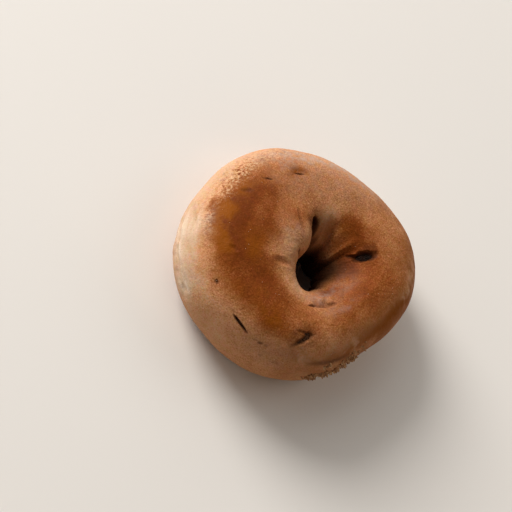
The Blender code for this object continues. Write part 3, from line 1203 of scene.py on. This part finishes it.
    def sheet(self) -> bpy.types.Mesh:
        """A flat sheet of ring and section angles, subdivided at the fine spots.

        Returns:
            A mesh whose x and y are the two angles in degrees.
        """
        rings = np.linspace(0.0, 360.0, self.ring_steps + 1) + self.ring_seam
        sections = self.sections()
        across, up = len(rings), len(sections)
        points = np.zeros((across, up, 3))
        points[..., 0], points[..., 1] = rings[:, None], sections[None, :]
        corner = (np.arange(across - 1)[:, None] * up + np.arange(up - 1)[None, :]).ravel()
        faces = np.stack((corner, corner + up, corner + up + 1, corner + 1), -1)
        mesh = bpy.data.meshes.new("crust")
        mesh.from_pydata(points.reshape(-1, 3).tolist(), [], faces.tolist())
        work = bmesh.new()
        work.from_mesh(mesh)
        for spot in self.fine_spots:
            for level in range(int(spot.amount)):
                self.split(work, spot, 1.0 - 0.2 * level)
        work.to_mesh(mesh)
        work.free()
        return mesh

    def split(self, work: bmesh.types.BMesh, spot: Patch, share: float) -> None:
        """Splits the faces of the sheet inside a spot.

        Args:
            work: The sheet.
            spot: The spot.
            share: How much of its size to split.
        """
        ring = (spot.ring - self.ring_seam) % 360.0 + self.ring_seam
        edges = set()
        for face in work.faces:
            middle = face.calc_center_median()
            along = abs(middle.x - ring) / spot.half_ring
            across = abs(middle.y - spot.section) / spot.half_section
            if max(along, across) < share:
                edges.update(face.edges)
        bmesh.ops.subdivide_edges(work, edges=list(edges), cuts=1, use_grid_fill=True)

    def mark_places(self, points: np.ndarray, mark: Mark) -> tuple[np.ndarray, np.ndarray]:
        """How far each point is from a mark's middle, in half lengths of the mark.

        Args:
            points: Points of the crust.
            mark: The mark.

        Returns:
            The distance, 1 at the mark's edge, and whether the point is on its side.
        """
        inverse = self.form.place(mark.ring, mark.section, mark.turn).inverted()
        local = points @ np.array(inverse.to_3x3()).T + np.array(inverse.translation)
        uneven = 1.0 + self.uneven_edge.value(points)
        reach = np.hypot(local[:, 0] / (mark.length / 2.0), local[:, 1] / (mark.width / 2.0))
        return reach * uneven, np.abs(local[:, 2]) < 0.008

    def strokes(self, ring: np.ndarray, section: np.ndarray) -> np.ndarray:
        """Long strokes along the ring, as rolling leaves them on the side wall.

        Args:
            ring: Ring angles in degrees.
            section: Section angles in degrees.

        Returns:
            Values about from -1 to 1.
        """
        return self.rolled.value(np.stack((ring * 0.00024, turned(section) * 0.00042), -1))

    def small_relief(self, points: np.ndarray, ring: np.ndarray,
                     section: np.ndarray) -> np.ndarray:
        """Marks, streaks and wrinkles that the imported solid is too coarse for.

        Args:
            points: Points of the crust.
            ring: Their ring angles in degrees.
            section: Their section angles in degrees, from 0 to 360.

        Returns:
            Heights in metres.
        """
        height = total(self.lumps_below, ring, section)
        for mark in self.marks:
            reach, near = self.mark_places(points, mark)
            dent = 1.0 - smoothstep((reach - 1.0 + mark.edge) / (2.0 * mark.edge))
            rim = bell(reach - 1.0 - mark.edge, self.rim_width)
            height = height + near * (mark.rim * rim - mark.depth * dent)
        height = height + self.rolled_wall.value(ring, section) * self.strokes(ring, section)
        rough = self.rough_wall.value(ring, section)
        for crag in self.crags:
            height = height + rough * (crag.value(points) - 0.6 * crag.reach)
        return height + self.funnel_folds(ring, section)

    def funnel_folds(self, ring: np.ndarray, section: np.ndarray) -> np.ndarray:
        """Fine folds down the funnel, deeper on its far wall.

        Args:
            ring: Ring angles in degrees.
            section: Section angles in degrees, from 0 to 360.

        Returns:
            Heights in metres.
        """
        around = np.stack((ring * 0.0008, section * 0.00042), -1)
        folds = self.far_wall.value(ring) * self.far_folds.value(around * (1.0, 0.12))
        folds = folds + self.fine_folds.value(around * (1.0, 0.15))
        return window(section, 112.0, 20.0, 205.0, 30.0) * folds

    def bake(self, points: np.ndarray, section: np.ndarray) -> np.ndarray:
        """How dark the crust is apart from its patches: baked more on the crest, and darker below
        for a browner base with painted shade under the bagel.

        Args:
            points: Points of the crust.
            section: Their section angles in degrees, from -180 to 180.

        Returns:
            Values from 0 for pale to 1 for dark.
        """
        crest = bell(section - 86.0 + self.crest_drift.value(points), 30.0, 3.0)
        under = smoothstep((-section - 25.0) / 30.0) * (section > -130.0)
        return self.bare_bake + self.crest_bake * crest + self.base_browning_and_shade * under

    def shade(self, ring: np.ndarray, section: np.ndarray) -> np.ndarray:
        """Painted shade in the depth of the funnel, and the painted shadow streaks that are as
        dark.

        Args:
            ring: Ring angles in degrees.
            section: Section angles in degrees, from 0 to 360.

        Returns:
            Values from 0 to 1.
        """
        start = self.shade_start - sum(arc.value(ring) for arc in self.shade_sooner)
        deep = window(section, start, 34.0, 272.0, 12.0)
        for shadow_streak in self.shadow_streaks:
            deep = np.maximum(deep, shadow_streak.value(ring, section))
        return self.shade_depth * np.clip(deep, 0.0, 1.0)

    def juice_and_shade(self, points: np.ndarray, ring: np.ndarray, section: np.ndarray) -> np.ndarray:
        """Where berry juice darkens the crust round the berries' marks, and painted shade darkens
        it in the folds and pits and along the crease.

        Args:
            points: Points of the crust.
            ring: Their ring angles in degrees.
            section: Their section angles in degrees.

        Returns:
            Values from 0 to 1.
        """
        stain = self.crease_shade.value(ring, section)
        for mark in self.marks:
            reach, near = self.mark_places(points, mark)
            halo = 1.0 - smoothstep((reach - 1.0) / (0.6 * mark.halo))
            stain = np.maximum(stain, near * mark.stain * halo)
        return stain

    def masks(self, points: np.ndarray, ring: np.ndarray,
              section: np.ndarray) -> dict[Mask, np.ndarray]:
        """Where the crust is browned, dusted, stained, blistered, torn or floured, and where shade
        and sheen are painted on it.

        Args:
            points: Points of the crust.
            ring: Their ring angles in degrees.
            section: Their section angles in degrees.

        Returns:
            Values from 0 to 1 for each mask, once clipped.
        """
        signed = turned(section)
        moved = ring + self.ring_drift.value(points)
        slid = signed + self.section_drift.value(points)
        ember, corner = self.ember.value(ring, signed), self.corner.value(ring, signed)
        bake = self.bake(points, signed) + total(self.browning_and_shading, moved, slid)
        smooth = np.clip(1.8 * (ember + corner), 0.0, 0.9)
        floury = total(self.floury, moved, slid) + self.powder.value(ring, signed)
        return {
            Mask.BAKE: bake + ember + corner,
            Mask.AMBER: total(self.amber, moved, slid) + 2.0 * corner + 0.4 * ember,
            Mask.DUSTY: total(self.dust_and_sheen, moved, slid) + self.painted_sheen.value(ring, signed),
            Mask.STAIN: self.juice_and_shade(points, ring, signed),
            Mask.SHADE: self.shade(ring, section % 360.0),
            Mask.BLISTER: total(self.blisters, ring, signed) * (1.0 - smooth),
            Mask.TORN: total(self.torn, ring, signed),
            Mask.FREE: smoothstep((points[:, 2] - 0.0004) / 0.003),
            Mask.FLOURY: floury * (0.75 + 0.25 * self.strokes(ring, section)),
        }

    def build(self, finish: CrustFinish, relief: CrustRelief) -> bpy.types.Object:
        """Makes the crust and dresses it.

        Args:
            finish: The crust's finish.
            relief: The small relief.

        Returns:
            The finished piece.
        """
        mesh = self.sheet()
        angles = np.empty(len(mesh.vertices) * 3)
        mesh.vertices.foreach_get("co", angles)
        ring, section = angles.reshape(-1, 3)[:, :2].T
        large = self.form.relief(ring, section)
        places = self.form.raised(ring, section, large)
        small = self.small_relief(places, ring, section % 360.0)
        points = self.form.raised(ring, section, large + small)
        points[:, 2] = np.maximum(points[:, 2], 0.0)
        for mask, values in self.masks(points, ring, section).items():
            layer = mesh.attributes.new(mask.value, "FLOAT", "POINT")
            layer.data.foreach_set("value", np.clip(values, 0.0, 1.0).astype(np.float32))
        mesh.vertices.foreach_set("co", points.astype(np.float32).ravel())
        work = bmesh.new()
        work.from_mesh(mesh)
        bmesh.ops.remove_doubles(work, verts=work.verts[:], dist=self.weld)
        work.to_mesh(mesh)
        work.free()
        mesh.shade_smooth()
        return relief.apply(link("crust", mesh), finish.material())


@dataclass
class BakedBerries:
    """The berries that show in the crust, with wrinkled skins."""

    form: DoughForm
    rings: int = 40
    segments: int = 72
    top: float = 0.12
    wrinkle: float = 0.09
    crease_size: float = 0.62
    ridge: float = 0.05
    ridge_size: float = 0.9

    def build(self, finish: BerryFinish) -> list[bpy.types.Object]:
        """Makes each berry in its pocket.

        Args:
            finish: The berries' finish.

        Returns:
            The berries in order.
        """
        material = finish.material()
        return [self.berry(berry, material) for berry in BERRIES]

    def berry(self, berry: Berry, material: bpy.types.Material) -> bpy.types.Object:
        """Makes one berry.

        Args:
            berry: Its place and sizes.
            material: Its material.

        Returns:
            The berry's object.
        """
        mesh = bpy.data.meshes.new(berry.node + "_skin")
        work = bmesh.new()
        bmesh.ops.create_uvsphere(
            work, u_segments=self.segments, v_segments=self.rings, radius=1.0)
        work.to_mesh(mesh)
        work.free()
        unit = np.empty(len(mesh.vertices) * 3)
        mesh.vertices.foreach_get("co", unit)
        unit = unit.reshape(-1, 3)
        half = np.array((berry.length, berry.width, berry.depth)) / 2.0
        creases = lumps(unit * (1.0, 1.6, 1.0), self.crease_size, berry.seed)
        ridges = np.abs(lumps(unit, self.ridge_size, berry.seed + 1))
        scale = 1.0 - self.wrinkle * (1.0 - creases) / 2.0
        scale = scale - self.ridge * (1.0 - np.minimum(ridges, 1.0))
        points = unit * half * scale[:, None]
        points[:, 2] = np.where(unit[:, 2] > 0.0, points[:, 2] * self.top, points[:, 2])
        matrix = np.array(self.form.place(berry.ring, berry.section, berry.turn, berry.sink))
        points = points @ matrix[:3, :3].T + matrix[:3, 3]
        mesh.vertices.foreach_set("co", points.astype(np.float32).ravel())
        dry = mesh.attributes.new("dry", "FLOAT", "POINT")
        dry.data.foreach_set("value", np.full(len(points), berry.dry, np.float32))
        mesh.shade_smooth()
        mesh.materials.append(material)
        return link(berry.node + "_skin", mesh)


@dataclass(frozen=True)
class Scatter:
    """Small grains scattered over the crust by Geometry Nodes, by one of its masks."""

    name: str
    mask: Mask
    density: float
    clump_scale: float
    smallest: float
    largest: float
    stretch: float
    lift: float
    seed: int

    def tree(self) -> bpy.types.NodeTree:
        """Builds the tree with a named input for each size.

        Returns:
            The geometry node tree.
        """
        sizes = ("Density", "Clump Scale", "Smallest", "Largest", "Stretch", "Lift")
        tree, graph, given = new_tree(self.name, sizes)
        amount = graph.math("MULTIPLY", CrustRelief.read(graph, self.mask), given["Density"])
        spot = graph.add("GeometryNodeInputPosition").outputs[0]
        clump = graph.spread(graph.noise(spot, given["Clump Scale"], detail=2.0), 0.46, 0.62)
        amount = graph.math("MULTIPLY", amount, clump)
        amount = graph.math("MULTIPLY", amount, CrustRelief.read(graph, Mask.FREE))
        spots = graph.add("GeometryNodeDistributePointsOnFaces", {
            "Mesh": given["Geometry"], "Density": amount, "Seed": given["Seed"]})
        grain = self.grain(graph)
        draw = graph.add("FunctionNodeRandomValue", {
            "Seed": given["Seed"]}, data_type="FLOAT")
        graph.feed(draw.inputs[2], given["Smallest"])
        graph.feed(draw.inputs[3], given["Largest"])
        width = draw.outputs[1]
        tall = graph.math("MULTIPLY", width, given["Stretch"])
        axes = graph.add("ShaderNodeCombineXYZ", {0: width, 1: width, 2: tall}).outputs[0]
        spin = graph.add("FunctionNodeRandomValue", {
            "Seed": given["Seed"]}, data_type="FLOAT_VECTOR")
        spin.inputs[0].default_value = (-0.7, -0.7, 0.0)
        spin.inputs[1].default_value = (0.7, 0.7, 6.28)
        turned_grains = graph.add("FunctionNodeRotateRotation", {
            0: spots.outputs["Rotation"]}, rotation_space="LOCAL")
        euler = graph.add("FunctionNodeEulerToRotation", {0: spin.outputs[0]})
        graph.feed(turned_grains.inputs[1], euler.outputs[0])
        set_down = graph.add("ShaderNodeVectorMath", {
            0: spots.outputs["Normal"], "Scale": given["Lift"]}, operation="SCALE")
        lifted = graph.add("GeometryNodeSetPosition", {
            "Geometry": spots.outputs["Points"], "Offset": set_down.outputs[0]})
        copies = graph.add("GeometryNodeInstanceOnPoints", {
            "Points": lifted.outputs[0], "Instance": grain,
            "Rotation": turned_grains.outputs[0], "Scale": axes})
        end_tree(graph, copies.outputs[0], given["Material"])
        return tree

    @staticmethod
    def grain(graph: Graph) -> bpy.types.NodeSocket:
        """One dented grain of unit size, shaded smooth."""
        ball = graph.add("GeometryNodeMeshIcoSphere", {"Radius": 1.0, "Subdivisions": 2})
        place = graph.add("GeometryNodeInputPosition").outputs[0]
        dents = graph.noise(place, 1.4, detail=2.0)
        size = graph.math("MULTIPLY_ADD", dents, 1.6, 0.2)
        shaped = graph.add("ShaderNodeVectorMath", {0: place, "Scale": size}, operation="SCALE")
        grain = graph.add("GeometryNodeSetPosition", {
            "Geometry": ball.outputs[0], "Position": shaped.outputs[0]})
        return graph.add("GeometryNodeSetShadeSmooth", {0: grain.outputs[0]}).outputs[0]

    def build(self, crust: bpy.types.Object, finish: GrainFinish) -> bpy.types.Object:
        """Scatters the grains over the crust.

        Args:
            crust: The finished crust, which is left as it is.
            finish: The grains' finish.

        Returns:
            The grains as one plain mesh object.
        """
        material = finish.material()
        holder = link(self.name, crust.data.copy())
        dress(holder, self.tree(), self, material)
        return settle(holder, self.name, material)


# Studio


def direction(ring: float, elevation: float) -> Vector:
    """The unit vector towards a ring angle and an elevation, both in degrees."""
    around, height = math.radians(ring), math.radians(elevation)
    level = math.cos(height)
    return Vector((math.cos(around) * level, math.sin(around) * level, math.sin(height)))


@dataclass(frozen=True)
class Lamp:
    """A round soft light, placed by its direction as seen from the bagel."""

    name: str
    ring: float
    elevation: float
    distance: float
    size: float
    power: float
    colour: Colour

    def build(self, aim: Vector) -> None:
        """Makes the light, aimed at a point."""
        data = bpy.data.lights.new(self.name, "AREA")
        data.shape = "DISK"
        data.size = self.size
        data.energy = self.power
        data.color = self.colour
        lamp = bpy.data.objects.new(self.name, data)
        bpy.context.scene.collection.objects.link(lamp)
        towards = direction(self.ring, self.elevation)
        lamp.location = aim + towards * self.distance
        lamp.rotation_mode = "QUATERNION"
        lamp.rotation_quaternion = towards.to_track_quat("Z", "Y")


@dataclass(frozen=True)
class Studio:
    """The floor, lights and camera. The camera has the photograph's angle and roll."""

    elevation: float = 58.0
    roll: float = 45.0
    field_of_view: float = 25.0
    sensor: float = 36.0
    image_side: float = 512.0
    pixels_per_metre: float = 2150.0
    centre_pixel: tuple[float, float] = (295.0, 264.0)
    aim: tuple[float, float, float] = (0.0012, -0.0005, 0.020)
    floor_size: float = 3.0
    ambient: float = 0.05
    sky: float = 1.15
    sky_ring: float = 155.0
    sky_elevation: float = 8.0
    sky_edges: tuple[float, float] = (-0.35, 1.0)
    zenith_edges: tuple[float, float] = (0.96, 0.86)
    ambient_colour: Colour = (1.0, 0.985, 0.96)
    lamps: tuple[Lamp, ...] = (
        Lamp("key", 166.0, 27.0, 2.5, 1.3, 76.0, (1.0, 0.965, 0.92)),
        Lamp("fill", 50.0, 40.0, 2.5, 1.6, 9.0, (1.0, 0.97, 0.93)),
        Lamp("warm", 340.0, 32.0, 2.5, 1.8, 9.0, (1.0, 0.75, 0.50)),
    )

    def camera(self) -> None:
        """Places the camera by the pixel that the bagel's middle falls on."""
        tilt, roll = math.radians(self.elevation), math.radians(self.roll)
        level = Vector((1.0, 0.0, 0.0))
        upright = Vector((0.0, math.sin(tilt), math.cos(tilt)))
        back = Vector((0.0, -math.cos(tilt), math.sin(tilt)))
        right = level * math.cos(roll) + upright * math.sin(roll)
        up = upright * math.cos(roll) - level * math.sin(roll)
        half = self.image_side / 2.0
        focal = half / math.tan(math.radians(self.field_of_view / 2.0))
        distance = focal / self.pixels_per_metre
        aside = (self.centre_pixel[0] - half) / focal * distance
        above = (half - self.centre_pixel[1]) / focal * distance
        place = Vector(self.aim) + back * distance - right * aside - up * above
        data = bpy.data.cameras.new("camera")
        data.sensor_width = self.sensor
        data.lens = self.sensor / 2.0 / math.tan(math.radians(self.field_of_view / 2.0))
        data.clip_start, data.clip_end = 0.01, 20.0
        camera = bpy.data.objects.new("camera", data)
        bpy.context.scene.collection.objects.link(camera)
        axes = Matrix((right, up, back)).transposed().to_4x4()
        camera.matrix_world = Matrix.Translation(place) @ axes
        bpy.context.scene.camera = camera

    def floor(self, finish: FloorFinish) -> None:
        """Lays the floor under the bagel."""
        half = self.floor_size / 2.0
        mesh = bpy.data.meshes.new("floor")
        corners = [(-half, -half, 0.0), (half, -half, 0.0), (half, half, 0.0), (-half, half, 0.0)]
        mesh.from_pydata(corners, [], [(0, 1, 2, 3)])
        mesh.materials.append(finish.material())
        link("floor", mesh)

    def lights(self) -> None:
        """Sets the lamps and the soft light from all round."""
        for lamp in self.lamps:
            lamp.build(Vector(self.aim))
        world = bpy.data.worlds.new("world")
        world.use_nodes = True
        graph = Graph(world.node_tree)
        look = graph.add("ShaderNodeTexCoord").outputs["Generated"]
        sky = tuple(direction(self.sky_ring, self.sky_elevation))
        facing = graph.add("ShaderNodeVectorMath", {0: look, 1: sky}, operation="DOT_PRODUCT")
        bright = graph.math("POWER", graph.spread(facing.outputs["Value"], *self.sky_edges), 2.0)
        strength = graph.math("MULTIPLY_ADD", bright, self.sky, self.ambient)
        height = graph.add("ShaderNodeSeparateXYZ", {0: look}).outputs["Z"]
        strength = graph.math("MULTIPLY", strength, graph.spread(height, *self.zenith_edges))
        background = graph.add("ShaderNodeBackground", {
            "Color": (*self.ambient_colour, 1.0), "Strength": strength})
        graph.add("ShaderNodeOutputWorld", {"Surface": background.outputs[0]})
        bpy.context.scene.world = world
        bpy.context.scene.view_settings.view_transform = "Standard"


def seat(piece: bpy.types.Object, slot: str, *nodes: str) -> None:
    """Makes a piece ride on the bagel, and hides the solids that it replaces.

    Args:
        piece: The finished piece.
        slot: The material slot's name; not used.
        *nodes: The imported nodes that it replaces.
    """
    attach(piece, BODY)
    if nodes:
        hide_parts(*nodes)
    LOG.info("%s: %d faces", piece.name, len(piece.data.polygons))


def main() -> None:
    """Builds the bagel's looks and the studio."""
    logging.basicConfig(level=logging.INFO, format="%(name)s: %(message)s")
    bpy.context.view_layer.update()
    form = DoughForm()
    crust = Crust(form).build(CrustFinish(), CrustRelief())
    seat(crust, "crust", "dough")
    for berry, piece in zip(BERRIES, BakedBerries(form).build(BerryFinish())):
        seat(piece, "blueberry", berry.node)
    crumbs = Scatter("crumbs", Mask.TORN, density=2.2e6, clump_scale=210.0, smallest=0.00012,
                     largest=0.00052, stretch=4.2, lift=0.0002, seed=5)
    crumb_finish = GrainFinish("crumb", (0.62, 0.37, 0.18), (0.26, 0.11, 0.040), 0.8)
    seat(crumbs.build(crust, crumb_finish), "crust")
    # Pale specks: flour grains, and painted glints of the crust's tiny bubbles
    specks = Scatter("specks", Mask.BAKE, density=2.6e4, clump_scale=120.0, smallest=0.00006,
                     largest=0.00015, stretch=0.7, lift=0.00002, seed=9)
    speck_and_glint_finish = GrainFinish("speck_and_glint", (0.80, 0.66, 0.50), (0.60, 0.42, 0.28), 0.4)
    seat(specks.build(crust, speck_and_glint_finish), "crust")
    studio = Studio()
    studio.floor(FloorFinish())
    studio.lights()
    studio.camera()


if __name__ == "__main__":
    main()
